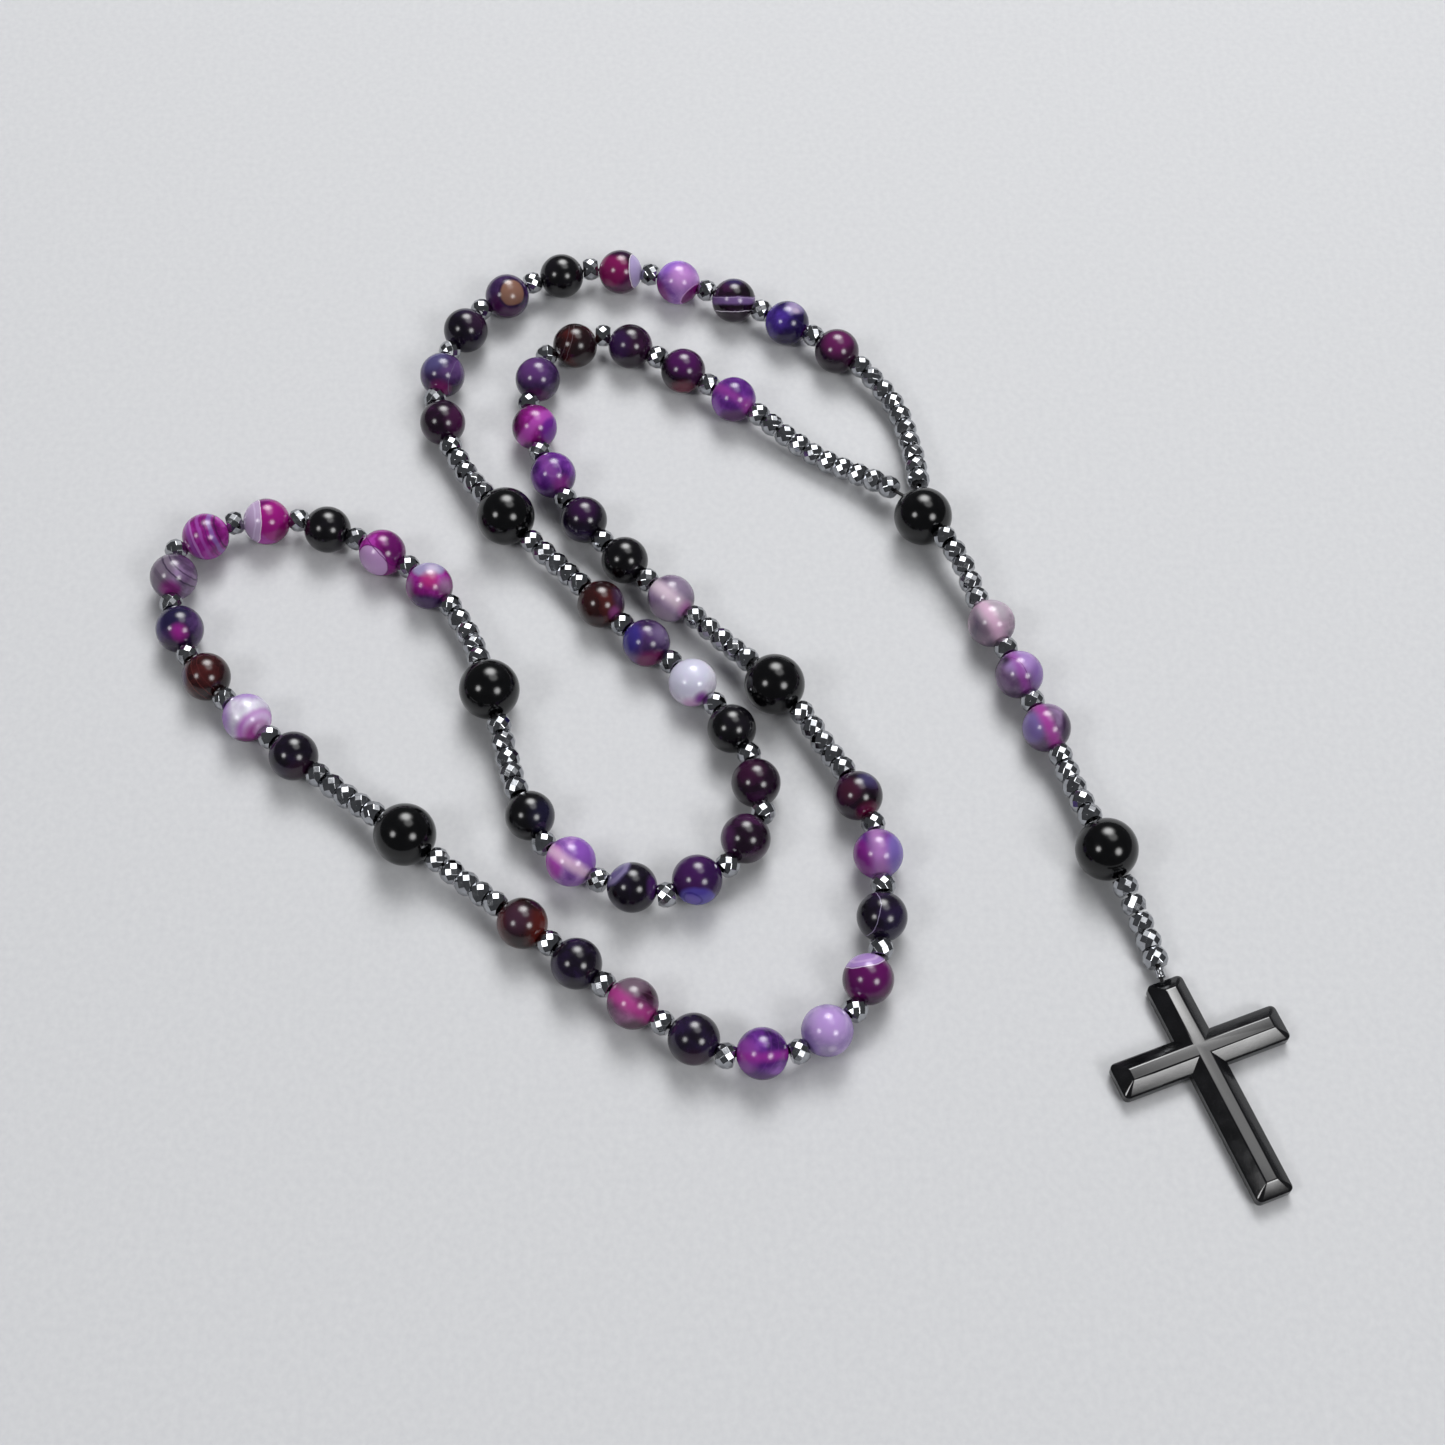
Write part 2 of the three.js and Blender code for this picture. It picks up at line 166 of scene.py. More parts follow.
def walk(route, start, to, distances, scale):
    """Steps along the route by straight distances, and returns the points it reaches."""
    points = []
    place = start
    here = on_route(route, place)
    for distance in distances:
        reach = distance * scale
        before = after = 0
        ahead = place
        while after < reach:
            before = after
            ahead += ROUTE_STEP
            after = (along(route, to, ahead) - here).length
        place = ahead - ROUTE_STEP * (after - reach) / (after - before)
        here = along(route, to, place)
        points.append(here)
    return points, place


def spread(route, start, to, distances):
    """Spreads the slack evenly, so that the last distance ends on the stretch's end."""
    low, high = 0.8, 1.2
    for _ in range(40):
        scale = (low + high) / 2
        if walk(route, start, to, distances, scale)[1] > to:
            high = scale
        else:
            low = scale
    return walk(route, start, to, distances, low)[0]


class Station:
    """One place on the thread. An agate fills the gap before a station with agate=True."""

    def __init__(self, kind, height, distance, agate=False):
        self.kind = kind
        self.height = height * MM
        self.distance = distance
        self.agate = agate
        self.at = None


def run(heights, first_distance, agate_first=False):
    first = Station("rondelle", heights[0], first_distance, agate_first)
    return [first] + [Station("rondelle", z, RUN_PITCH) for z in heights[1:]]


def singles(count):
    return [Station("rondelle", LEVEL, BEAD_PITCH, True) for _ in range(count)]


def decade(first_run, first_distance, last_run, last_distance):
    stations = run(first_run[::-1], first_distance)
    stations += singles(9)
    stations += run(last_run, BEAD_PITCH, True)
    stations.append(Station("onyx", ONYX_LEVEL, last_distance))
    return stations


def string(route, start, to, stations):
    """Places every station of a stretch, its start included."""
    points = spread(route, start, to, [station.distance for station in stations])
    for station, point in zip(stations, points):
        station.at = Vector((*point, station.height))
    first = Station("onyx", ONYX_LEVEL, 0)
    first.at = Vector((*on_route(route, start), first.height))
    return [first, *stations]


def lay_out():
    """The five stretches of the loop and the drop, as lists of placed stations."""
    loop = [
        decade(RUN_OF_TEN, RIGHT_FORK_REACH, RUN_OF_FIVE, ONYX_REACH),
        decade(RUN_OF_FIVE, ONYX_REACH, RUN_OF_FIVE, ONYX_REACH),
        decade(RUN_OF_FIVE, ONYX_REACH, RUN_OF_FIVE, ONYX_REACH),
        decade(RUN_OF_FIVE, ONYX_REACH, RUN_OF_FIVE, ONYX_REACH),
        decade(RUN_OF_FIVE, ONYX_REACH, RUN_OF_TEN, LEFT_FORK_REACH),
    ]
    stretches = [
        string(LOOP_ROUTE, ONYX_POINTS[i], ONYX_POINTS[i + 1], stations)
        for i, stations in enumerate(loop)
    ]
    hanging = run(RUN_BELOW_CENTRE, ONYX_REACH - 0.2 * MM)
    hanging += singles(2)
    hanging += run(RUN_OF_FIVE, BEAD_PITCH, True)
    hanging.append(Station("onyx", ONYX_LEVEL, ONYX_REACH))
    hanging += run(RUN_TO_CROSS, ONYX_REACH)
    hanging.append(Station("crimp", 1.8, 2.5 * MM))
    hanging.append(Station("end", CROSS_BORE_HEIGHT / MM, 1.5 * MM))
    return stretches, string(DROP_ROUTE, 0, len(DROP_ROUTE) - 1, hanging)


def heading(stations, i):
    """The way the thread runs through a station, from its neighbours."""
    total = Vector((0, 0, 0))
    if i > 0:
        total += (stations[i].at - stations[i - 1].at).normalized()
    if i < len(stations) - 1:
        total += (stations[i + 1].at - stations[i].at).normalized()
    return total.normalized()


def facing(axis):
    """A turning that puts local +X along the axis and local +Z as near up as it goes."""
    side = UP.cross(axis).normalized()
    return Matrix((axis, side, axis.cross(side))).transposed()


# ---- The onyx beads' drillings -----------------------------------------------------


class Ball:
    """An onyx bead. Its hole runs between the ways in which its threads leave."""

    def __init__(self, name, body, node, at, before, after):
        self.name, self.body, self.node, self.at = name, body, node, at
        self.axis = ((after - at).normalized() + (at - before).normalized()).normalized()

    def mouth(self, towards, aside, clear):
        """Where a thread to that point leaves the hole, moved over towards the point."""
        way = (towards - self.at).normalized()
        axis = self.axis if way.dot(self.axis) > 0 else -self.axis
        over = (way - axis * way.dot(axis)).normalized()
        return self.at + axis * (ONYX_RADIUS + clear) + over * aside


def find_balls(stretches, drop):
    fork = (stretches[0][1].at + stretches[4][-2].at) / 2
    centre = Ball("onyx_centre", "strand_1", "strand_1", drop[0].at, fork, drop[1].at)
    balls = [centre]
    owners = ["strand_1", "strand_2", "strand_3", "strand_5"]
    for i, owner in enumerate(owners):
        before, after = stretches[i][-2].at, stretches[i + 1][1].at
        at = stretches[i][-1].at
        balls.append(Ball(f"onyx_loop_{i + 1}", owner, owner, at, before, after))
    i = next(i for i, station in enumerate(drop) if i > 0 and station.kind == "onyx")
    before, after = drop[i - 1].at, drop[i + 1].at
    balls.append(Ball("onyx_drop", "drop_strand", "drop_strand", drop[i].at, before, after))
    return balls


# ---- Mesh helpers ------------------------------------------------------------------


def new_piece(name, mesh, material, body, nodes):
    piece = bpy.data.objects.new(name, mesh)
    bpy.context.collection.objects.link(piece)
    mesh.materials.append(material)
    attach(piece, body)
    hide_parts(*nodes)
    return piece


def mesh_from(name, points, faces, smooth=True):
    mesh = bpy.data.meshes.new(name)
    mesh.from_pydata([tuple(point) for point in points], [], faces)
    mesh.validate()
    mesh.shade_smooth() if smooth else mesh.shade_flat()
    return mesh


def lathe(name, profile, segments):
    """A closed ring of (x, radius) points turned about local X."""
    points, faces = [], []
    for k in range(segments):
        angle = 2 * math.pi * k / segments
        points += [(x, r * math.sin(angle), r * math.cos(angle)) for x, r in profile]
    count = len(profile)
    for k in range(segments):
        a, b = k * count, (k + 1) % segments * count
        for i in range(count):
            j = (i + 1) % count
            faces.append((a + i, a + j, b + j, b + i))
    return mesh_from(name, points, faces)


def sharpen(mesh, degrees):
    """Marks the edges that turn by more than the angle, and smooths the rest."""
    shape = bmesh.new()
    shape.from_mesh(mesh)
    for edge in shape.edges:
        edge.smooth = edge.calc_face_angle(0) < math.radians(degrees)
    shape.to_mesh(mesh)
    shape.free()


def drilled_ball(name, radius, steps, segments):
    """A polished ball with a straight drilling, its mouths broken by a small chamfer."""
    chamfer = 0.12 * MM
    start = math.asin((BORE_RADIUS + chamfer) / radius)
    profile = []
    for i in range(steps + 1):
        angle = start + (math.pi - 2 * start) * i / steps
        profile.append((-radius * math.cos(angle), radius * math.sin(angle)))
    inner = radius * math.cos(start) - chamfer
    profile += [(inner, BORE_RADIUS), (-inner, BORE_RADIUS)]
    mesh = lathe(name, profile, segments)
    sharpen(mesh, 40)
    return mesh


# ---- Node helpers ------------------------------------------------------------------


def colour(text):
    """A display colour such as "#6a1258" as a linear one."""
    parts = [int(text[i : i + 2], 16) / 255 for i in (1, 3, 5)]
    linear = [p / 12.92 if p <= 0.04045 else ((p + 0.055) / 1.055) ** 2.4 for p in parts]
    return (*linear, 1)


class Shader:
    """One material's nodes. Each method adds a node and returns its output socket."""

    def __init__(self, name):
        self.material = bpy.data.materials.new(name)
        self.material.use_nodes = True
        self.tree = self.material.node_tree
        self.surface = self.tree.nodes["Principled BSDF"]

    def put(self, socket, value):
        if isinstance(value, bpy.types.NodeSocket):
            self.tree.links.new(value, socket)
        elif value is not None:
            socket.default_value = value

    def node(self, kind, values=(), output=0, **settings):
        node = self.tree.nodes.new(kind)
        for key, value in settings.items():
            setattr(node, key, value)
        for i, value in enumerate(values):
            self.put(node.inputs[i], value)
        return node.outputs[output]

    def math(self, operation, a, b=None, clamp=False):
        values = (a,) if b is None else (a, b)
        return self.node("ShaderNodeMath", values, operation=operation, use_clamp=clamp)

    def vector(self, operation, a, b=None, output=0):
        return self.node("ShaderNodeVectorMath", (a, b), output, operation=operation)

    def scaled(self, vector, factor):
        node = self.tree.nodes.new("ShaderNodeVectorMath")
        node.operation = "SCALE"
        self.put(node.inputs[0], vector)
        node.inputs["Scale"].default_value = factor
        return node.outputs[0]

    def dot(self, a, b):
        return self.vector("DOT_PRODUCT", a, tuple(b), "Value")

    def place(self):
        return self.node("ShaderNodeTexCoord", output="Object")

    def noise(self, place, scale, detail=2, seed=0.0, rough=0.5, warp=0.0, output="Fac"):
        node = self.tree.nodes.new("ShaderNodeTexNoise")
        node.noise_dimensions = "4D"
        self.put(node.inputs["Vector"], place)
        node.inputs["W"].default_value = seed
        node.inputs["Scale"].default_value = scale
        node.inputs["Detail"].default_value = detail
        node.inputs["Roughness"].default_value = rough
        node.inputs["Distortion"].default_value = warp
        return node.outputs[output]

    def lines(self, value, scale, seed):
        node = self.tree.nodes.new("ShaderNodeTexNoise")
        node.noise_dimensions = "1D"
        self.put(node.inputs["W"], self.math("ADD", value, seed))
        node.inputs["Scale"].default_value = scale
        node.inputs["Detail"].default_value = 3
        return node.outputs["Fac"]

    def between(self, value, low, high, to_low=0.0, to_high=1.0):
        node = self.tree.nodes.new("ShaderNodeMapRange")
        node.interpolation_type = "SMOOTHSTEP"
        self.put(node.inputs["Value"], value)
        names = ("From Min", "From Max", "To Min", "To Max")
        for name, number in zip(names, (low, high, to_low, to_high)):
            node.inputs[name].default_value = number
        return node.outputs[0]

    def ramp(self, value, stops):
        node = self.tree.nodes.new("ShaderNodeValToRGB")
        self.put(node.inputs[0], value)
        elements = node.color_ramp.elements
        while len(elements) < len(stops):
            elements.new(0.5)
        for element, (position, shade) in zip(elements, stops):
            element.position = position
            element.color = shade
        return node.outputs[0]

    def mix(self, factor, a, b):
        node = self.tree.nodes.new("ShaderNodeMix")
        node.data_type = "RGBA"
        self.put(node.inputs["Factor"], factor)
        self.put(node.inputs[6], a)
        self.put(node.inputs[7], b)
        return node.outputs[2]

    def bump(self, height, distance, strength=1.0):
        node = self.tree.nodes.new("ShaderNodeBump")
        node.inputs["Strength"].default_value = strength
        node.inputs["Distance"].default_value = distance
        self.put(node.inputs["Height"], height)
        self.put(self.surface.inputs["Normal"], node.outputs[0])

    def finish(self, **inputs):
        """Sets the shader's sockets, named with _ for a space, and returns the material."""
        for key, value in inputs.items():
            self.put(self.surface.inputs[key.replace("_", " ")], value)
        return self.material


# ---- Materials ---------------------------------------------------------------------


def thread_material():
    """Black waxed thread: a fine twist and a little fuzz."""
    s = Shader("black_thread")
    fuzz = s.noise(s.scaled(s.place(), 1 / MM), 6, 4)
    shade = s.ramp(fuzz, [(0.3, colour("#08080a")), (0.7, colour("#19181b"))])
    s.bump(fuzz, 0.05 * MM, 0.6)
    return s.finish(Base_Color=shade, Roughness=0.55, Specular_IOR_Level=0.4)


def hematite_material():
    """Polished hematite: a dark mirror, a little uneven from facet to facet."""
    s = Shader("polished_hematite")
    place = s.scaled(s.place(), 1 / MM)
    cloud = s.noise(place, 0.9, 3)
    shade = s.ramp(cloud, [(0.3, colour("#94969a")), (0.7, colour("#adafb3"))])
    gloss = s.between(s.noise(place, 5, 3, 3.0), 0.3, 0.7, 0.06, 0.12)
    s.bump(s.noise(place, 2.4, 2, 7.0), 0.012 * MM, 0.4)
    return s.finish(Base_Color=shade, Metallic=1.0, Roughness=gloss)


def onyx_material():
    """Black onyx under a high polish, with faint smears."""
    s = Shader("black_onyx")
    place = s.scaled(s.place(), 1 / MM)
    smear = s.noise(place, 0.5, 4, 1.0, warp=0.6)
    shade = s.ramp(smear, [(0.35, colour("#030304")), (0.75, colour("#08080a"))])
    gloss = s.between(smear, 0.35, 0.7, 0.12, 0.17)
    return s.finish(Base_Color=shade, Roughness=gloss, IOR=1.45)


def cross_material():
    """The same stone cut flat: fine polishing scratches and rubbed edges."""
    s = Shader("cut_onyx")
    place = s.scaled(s.place(), 1 / MM)
    stretched = s.vector("MULTIPLY", place, (0.25, 6, 6))
    scratch = s.between(s.noise(stretched, 1.1, 5, 2.0), 0.58, 0.72)
    cloud = s.noise(place, 0.35, 3, 5.0)
    shade = s.ramp(cloud, [(0.3, colour("#060607")), (0.75, colour("#0f0f12"))])
    shade = s.mix(s.math("MULTIPLY", scratch, 0.12), shade, colour("#3a3b40"))
    polish = s.between(cloud, 0.3, 0.7, 0.09, 0.16)
    gloss = s.math("ADD", polish, s.math("MULTIPLY", scratch, 0.1))
    s.bump(s.noise(place, 1.5, 4, 9.0), 0.01 * MM, 0.35)
    return s.finish(Base_Color=shade, Roughness=gloss, IOR=1.6)


def crimp_material():
    """Silver-coloured crimp metal, dented by the pliers."""
    s = Shader("crimp_metal")
    place = s.scaled(s.place(), 1 / MM)
    dent = s.noise(place, 1.6, 3)
    shade = s.ramp(dent, [(0.3, colour("#8d8f93")), (0.7, colour("#c9cbcf"))])
    s.bump(dent, 0.08 * MM, 0.6)
    return s.finish(Base_Color=shade, Metallic=1.0, Roughness=0.24)


def floor_material():
    """A plain pale studio surface."""
    s = Shader("pale_floor")
    grain = s.noise(s.place(), 900, 3)
    shade = s.ramp(grain, [(0.3, colour("#bcbdc0")), (0.7, colour("#c3c4c6"))])
    return s.finish(Base_Color=shade, Roughness=0.75)


# ---- Agate ---------------------------------------------------------------------------

# Dark, main and light shades of the dyed stone, and how far light goes into it.
STONES = {
    "black": ("#040305", "#08070b", "#120e16", 0.0),
    "night": ("#060409", "#110a19", "#241737", 0.0),
    "plum": ("#0a040b", "#1c091d", "#3a173b", 0.03),
    "wine": ("#190717", "#43103a", "#6a1c5a", 0.06),
    "maroon": ("#090304", "#210a0d", "#471818", 0.04),
    "dusk": ("#140a20", "#35204a", "#5a3f72", 0.08),
    "indigo": ("#100828", "#2c1860", "#4a3092", 0.08),
    "violet": ("#2a0c46", "#57227a", "#8446a6", 0.15),
    "magenta": ("#35052f", "#7c1272", "#ab3fa8", 0.15),
    "rose": ("#2b0d22", "#603559", "#936087", 0.15),
    "lilac": ("#52307a", "#8758a6", "#b78fca", 0.2),
    "mauve": ("#30213a", "#5f4869", "#8d7599", 0.15),
    "haze": ("#6d5788", "#937cb0", "#bba8cf", 0.2),
    "pale": ("#938aa6", "#bfb9ca", "#dfdde8", 0.25),
    "blush": ("#655a6c", "#7d6a7c", "#b39aad", 0.25),
}
LAVENDER = "#a597c0"
WHITE = "#e4dcea"
# HOT and GLOW are shades for the painted glow of light through the stone round the drilling.
HOT = "#b01a92"
GLOW = "#6f1265"
TAN = "#7f5d50"
INK = "#100615"


def cap(shade, hour, tilt, size, soft=0.05, line=None):
    """A zone about one point of the bead. A point is given as it is seen: its hour on
    a clock face, and its tilt in degrees from the middle of the visible side."""
    at = (hour, tilt)
    return {"form": "cap", "shade": shade, "at": at, "size": size, "soft": soft, "line": line}


def stripe(shade, hour, tilt, offset, width):
    """A band round the bead, square to that direction and offset along it."""
    return {"form": "stripe", "shade": shade, "at": (hour, tilt), "offset": offset, "width": width}


def veins(shade, hour, tilt, scale, share):
    """Fine parallel banding, square to that direction."""
    return {"form": "veins", "shade": shade, "at": (hour, tilt), "scale": scale, "share": share}


def core(shade, strength=0.8, size=0.42):
    """A painted glow of light through the stone round the drilling, where it shows at the two
    holes.
    """
    return {"form": "core", "shade": shade, "strength": strength, "size": size}


def painted_light_streak(shade, strength=0.8, width=0.16):
    """A painted streak of light through the stone along the drilling, from hole to hole, on the
    band turned to the camera.
    """
    return {"form": "painted_light_streak", "shade": shade, "strength": strength, "width": width}


# Each bead's stone and features, in order along its stretch. Besides the stone's own banding, some
# caps are painted light and shade: a lighter cap towards the top and middle is painted light, a
# darker cap towards the bottom is painted shade, and a magenta rim along the lower right edge is
# painted glow of light through the stone. The core and streak features are painted glow as well.
AGATES = {
    "1": [
        ("plum", cap("#5a1a4e", 12, 20, 42, 0.2), cap("#33112e", 4, 50, 30, 0.1)),
        (
            "indigo", cap("#1b0d38", 6, 70, 44, 0.2), cap("#a595ba", 1, 46, 17, 0.1),
            cap("#b9a9c0", 1.5, 36, 6, 0.02), core(GLOW, 0.4),
        ),
        (
            "plum", cap("#2b2350", 12, 56, 20, 0.1), stripe("#7d609a", 12, 80, 0.0, 0.15),
            stripe("#9a86ae", 12, 80, 0.14, 0.02), stripe(WHITE, 12, 75, -0.42, 0.018),
        ),
        (
            "lilac", cap("#8f62c0", 11, 66, 40, 0.15), cap("#b884c6", 2, 14, 34, 0.22),
            cap("#7a1a78", 8, 80, 34, 0.12), cap("#64105e", 4.5, 80, 36, 0.04, "#c78fc8"),
            core(HOT, 0.3),
        ),
        (
            "wine", cap("#74104e", 9, 30, 50, 0.15), cap("#27062a", 12, 72, 38, 0.12),
            cap(LAVENDER, 3, 74, 48, 0.025, WHITE),
        ),
        ("black",),
        (
            "dusk", cap("#3c1040", 6, 50, 50, 0.2), cap("#2a1638", 3, 22, 44, 0.05),
            cap("#7d5a4c", 3, 20, 35, 0.04), cap(TAN, 3.2, 18, 25, 0.05),
        ),
        ("night", cap("#2c1830", 2, 45, 30, 0.2)),
        (
            "dusk", cap("#4a4470", 11, 50, 40, 0.2), cap("#74205e", 6, 50, 24, 0.12),
            stripe("#66567a", 3.5, 80, 0.62, 0.012),
        ),
        ("plum", cap("#3c1438", 3, 50, 34, 0.15)),
    ],
    "2": [
        (
            "maroon", cap("#8a3f80", 4, 48, 13, 0.06), cap("#3a2440", 2.5, 62, 26, 0.1),
            cap("#2c0f10", 9, 40, 40, 0.2),
        ),
        (
            "dusk", cap("#352a78", 9.5, 52, 40, 0.15), cap("#64204e", 5.5, 62, 38, 0.12),
            cap("#6a5a7e", 2, 48, 22, 0.1),
        ),
        (
            "pale", cap("#c6c5d8", 11, 30, 60, 0.2), cap("#c49ac4", 6, 66, 24, 0.1),
            cap("#7c3090", 5, 48, 16, 0.05),
        ),
        ("black",),
        ("plum", cap("#2e0a28", 11, 40, 34, 0.2)),
        ("plum", cap("#442048", 9, 62, 34, 0.15)),
        (
            "dusk", cap("#38144a", 11, 40, 60, 0.15), cap("#2c0f40", 2.5, 58, 40, 0.1),
            cap("#4c4098", 6, 60, 45, 0.08), cap("#5c4a9e", 6.5, 52, 18, 0.04, "#3a2c80"),
        ),
        (
            "night", cap("#5f567e", 10.5, 76, 40, 0.08), stripe("#7a7094", 10.5, 76, 0.84, 0.05),
            cap("#3a1a50", 3, 66, 30, 0.1),
        ),
        (
            "lilac", cap("#a846ae", 9, 60, 44, 0.12), cap("#7e4aa6", 2, 66, 46, 0.1),
            painted_light_streak("#dcbcd2", 0.75, 0.17), cap("#7d4a98", 5, 82, 30, 0.12),
        ),
        ("black", cap("#15122a", 3, 45, 36, 0.2)),
    ],
    "3": [
        (
            "magenta", cap("#3c2050", 6, 76, 50, 0.12), cap("#8f86ac", 12, 62, 42, 0.08),
            cap("#c9bcd4", 12.5, 50, 12, 0.08), cap("#a82a66", 1, 16, 18, 0.12),
            cap("#8a6a8e", 9, 56, 16, 0.1), cap("#9c7a9c", 3, 50, 14, 0.1),
        ),
        (
            "magenta", cap("#5c0e58", 2.5, 60, 44, 0.1),
            cap("#b08cba", 7.3, 46, 47, 0.035, "#5c1a60"), stripe("#5c1a60", 1.5, 80, 0.1, 0.02),
        ),
        ("black",),
        (
            "magenta", cap("#8c1272", 3, 50, 60, 0.1), cap("#ae98ba", 9, 70, 66, 0.025, WHITE),
            stripe("#c4b2d0", 9, 70, 0.62, 0.03), cap("#6f0a56", 4, 82, 34, 0.06),
        ),
        (
            "magenta", stripe("#8c4a9c", 2.4, 86, -0.5, 0.1),
            stripe("#ae74bc", 2.4, 86, -0.32, 0.05), stripe("#94489e", 2.4, 86, 0.06, 0.07),
            stripe("#5a1260", 2.4, 86, 0.3, 0.025), stripe("#7e5aa0", 2.4, 86, 0.52, 0.08),
            stripe("#3c0c40", 2.4, 86, 0.7, 0.03),
        ),
        (
            "mauve", cap("#6f6374", 10, 44, 50, 0.2), cap("#7a2470", 6, 40, 27, 0.09),
            stripe("#2c2038", 1.5, 80, 0.35, 0.03), stripe("#3a2a48", 1.5, 80, 0.62, 0.025),
            veins("#281a32", 1.5, 80, 3, 0.5),
        ),
        (
            "dusk", cap("#1c1638", 11, 60, 56, 0.2), cap("#22102f", 6, 66, 44, 0.2),
            cap("#3c3460", 9, 66, 30, 0.15), cap("#98228a", 4.5, 15, 17, 0.1),
        ),
        (
            "maroon", cap("#443650", 9, 70, 28, 0.1), stripe("#5c2c28", 2, 70, -0.2, 0.02),
            stripe("#562624", 2, 70, 0.1, 0.016), stripe("#4c2022", 2, 70, 0.36, 0.014),
        ),
        (
            "pale", cap("#8f5cb0", 9, 84, 44, 0.25), cap("#8f62b4", 12, 88, 34, 0.2),
            cap("#a862b4", 4.5, 60, 58, 0.16), cap("#c8aad4", 4.2, 56, 44, 0.1),
            cap("#94308a", 4.8, 60, 34, 0.12), cap("#bd92c0", 4, 56, 19, 0.05),
            cap("#5c1654", 6, 82, 28, 0.08),
        ),
        ("night", cap("#260e22", 5, 50, 30, 0.2)),
    ],
    "4": [
        (
            "maroon", cap("#3a2030", 11, 20, 34, 0.2), cap("#561a16", 3.5, 64, 40, 0.3),
            cap("#4a1418", 9, 66, 26, 0.12),
        ),
        ("night",),
        (
            "rose", cap("#6a5866", 12, 62, 34, 0.15), cap("#4a2c40", 5.5, 74, 42, 0.12),
            painted_light_streak("#a83a86", 0.85, 0.24),
        ),
        ("night", cap("#2a0c28", 6, 60, 36, 0.2)),
        (
            "violet", cap("#7f3a92", 9, 50, 40, 0.15), cap("#4a2660", 6, 76, 36, 0.12),
            painted_light_streak("#8f2a90", 0.8, 0.14),
        ),
        (
            "haze", cap("#a98ac4", 12, 24, 40, 0.2), cap("#8d80a0", 6, 44, 14, 0.08),
            cap("#c2b4d0", 5.5, 38, 5, 0.02), cap("#856cab", 8, 74, 34, 0.12),
        ),
        (
            "wine", cap("#520c4e", 12, 20, 60, 0.2),
            cap("#9c7cb8", 11.6, 84, 47, 0.03, "#c9b4d6"),
            stripe("#b79cc8", 11.6, 84, 0.84, 0.03), cap("#340334", 6, 76, 40, 0.12),
        ),
        ("night", cap("#1d1530", 4, 50, 40, 0.2), stripe("#8c829e", 9.5, 70, 0.5, 0.013)),
        (
            "violet", cap("#6f5ca2", 3, 66, 50, 0.15), cap("#741e7c", 8.5, 62, 48, 0.12),
            painted_light_streak("#b884c0", 0.65, 0.26),
        ),
        (
            "plum", cap("#3f3a62", 1, 56, 20, 0.12), cap("#64103a", 5, 52, 24, 0.15),
            cap("#3a1428", 10, 30, 30, 0.15),
        ),
    ],
    "5": [
        (
            "mauve", cap("#7f7088", 1.5, 50, 40, 0.2), cap("#3c2846", 8.5, 88, 26, 0.08),
            cap("#9a8a9e", 7, 62, 34, 0.15), painted_light_streak("#d3bfce", 0.9, 0.24),
            cap("#963a90", 4.3, 52, 16, 0.1),
        ),
        ("black",),
        ("night", cap("#2e0f38", 12, 26, 34, 0.2)),
        (
            "violet", cap("#431a5c", 5, 72, 44, 0.15),
            cap("#683484", 1, 10, 15, 0.04, "#784692"), painted_light_streak("#8a4a98", 0.4, 0.18),
            cap("#8a2c86", 4.5, 40, 16, 0.12),
        ),
        (
            "magenta", cap("#641f86", 3, 66, 44, 0.15), cap("#561e5c", 6, 84, 34, 0.1),
            stripe("#a848a8", 4.5, 88, 0.06, 0.2),
        ),
        ("dusk", cap("#55306a", 11, 30, 40, 0.2), cap("#4a1a4c", 6, 70, 34, 0.12)),
        (
            "maroon", cap("#1c0e12", 4, 50, 50, 0.2), stripe("#5c4c52", 9.5, 74, 0.36, 0.014),
            stripe("#4c3c42", 9.5, 74, 0.56, 0.012),
        ),
        ("plum", cap("#2e1640", 9, 40, 40, 0.2)),
        ("plum", cap("#42104a", 12, 24, 44, 0.2), cap("#5c1a30", 6, 70, 32, 0.15)),
        (
            "violet", cap("#4c2256", 6, 76, 40, 0.12), painted_light_streak("#8e3a92", 0.7, 0.18),
            cap("#a04aa0", 4, 50, 16, 0.1),
        ),
    ],
    "drop": [
        (
            "blush", cap("#a89ca8", 12, 40, 40, 0.2), cap("#6e6072", 5, 76, 40, 0.15),
            painted_light_streak("#cfaac4", 0.85, 0.2),
        ),
        (
            "mauve", cap("#9a7cb6", 12, 46, 44, 0.2), cap("#7a5c9c", 3, 60, 34, 0.15),
            cap(INK, 10.5, 60, 14, 0.05), stripe("#43285a", 8, 60, 0.3, 0.016),
            painted_light_streak("#8a3a94", 0.7, 0.17),
        ),
        (
            "mauve", cap("#33203c", 3, 76, 44, 0.1), cap("#72609a", 9, 50, 38, 0.15),
            painted_light_streak("#a03c96", 0.85, 0.2),
        ),
    ],
}


def seen_at(hour, tilt):
    """The world direction of a point, by its hour and its tilt from the visible middle."""
    clock = math.radians(30 * hour)
    lean = math.radians(tilt)
    across = Vector((1, 0, 0)) * math.sin(clock) + PICTURE_UP * math.cos(clock)
    return TO_CAMERA * math.cos(lean) + across * math.sin(lean)


